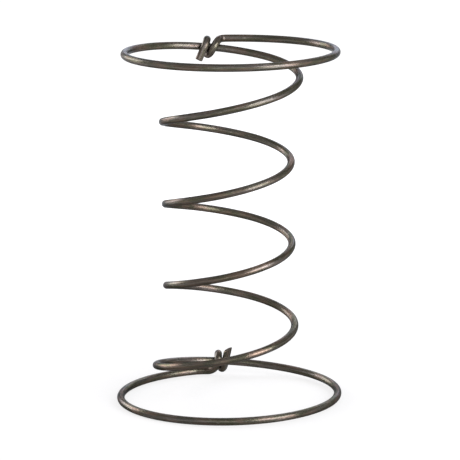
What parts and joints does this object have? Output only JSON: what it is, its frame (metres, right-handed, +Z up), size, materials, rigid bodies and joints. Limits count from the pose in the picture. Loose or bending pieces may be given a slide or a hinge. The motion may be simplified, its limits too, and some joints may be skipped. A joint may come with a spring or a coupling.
{
  "type": "sofa spring",
  "caption": "Hourglass coil spring of round steel wire; its ends widen into level rings, each closed by a knot round the coil. It stands upright under a sofa or chair seat.",
  "frame": {"origin": "centre of the lower ring, on the surface that the spring stands on", "axes": "+Z up along the spring, from the lower ring to the top ring; the knots are at the rear, towards +Y; +X to the right seen from the front"},
  "size_m": [0.1141, 0.1158, 0.1778],
  "materials": {
    "spring_steel": "drawn steel wire with a thin dark brown skin, a soft lengthwise sheen and rubbed pale spots"
  },
  "bodies": {
    "root": {"spring_wire": "spring_steel"}
  },
  "joints": []
}
